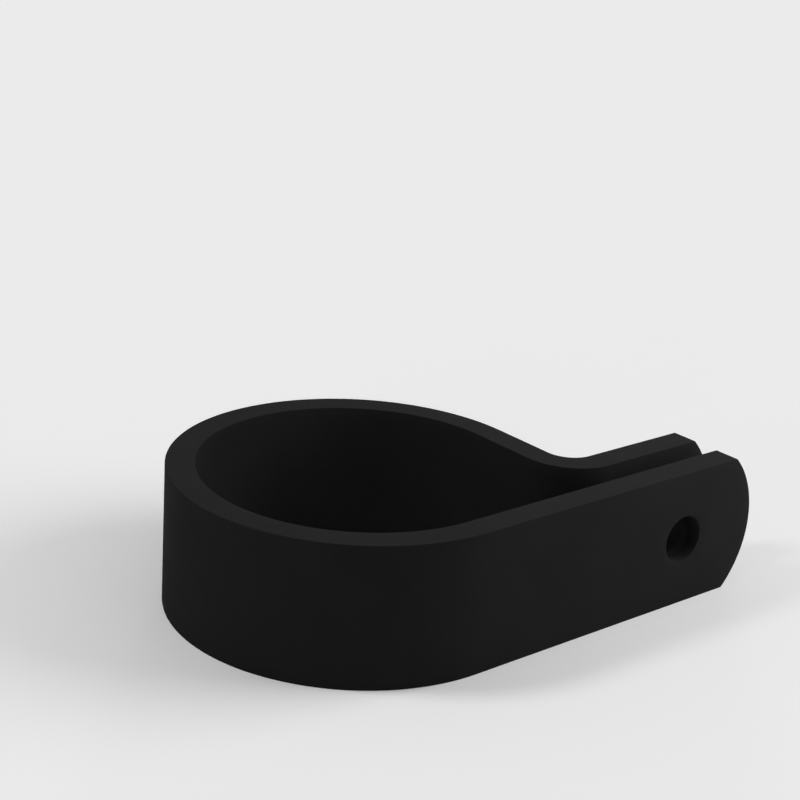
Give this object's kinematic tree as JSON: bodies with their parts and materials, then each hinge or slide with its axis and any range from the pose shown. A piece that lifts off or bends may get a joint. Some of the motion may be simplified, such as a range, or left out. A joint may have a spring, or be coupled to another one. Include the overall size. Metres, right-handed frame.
{
  "type": "p clip",
  "caption": "One-piece moulded P clip: a flat band round a cable loop, ending in parallel ears with a screw hole through both.",
  "frame": {"origin": "on the axis of the cable loop, on the band's edge that the clip rests on", "axes": "+X from the loop along the ears, +Z along the loop's axis, the ears on the -Y side of the loop"},
  "size_m": [0.039, 0.026, 0.01],
  "materials": {
    "moulded_nylon": "matte"
  },
  "bodies": {
    "root": {"p_clip": "moulded_nylon"}
  },
  "joints": []
}
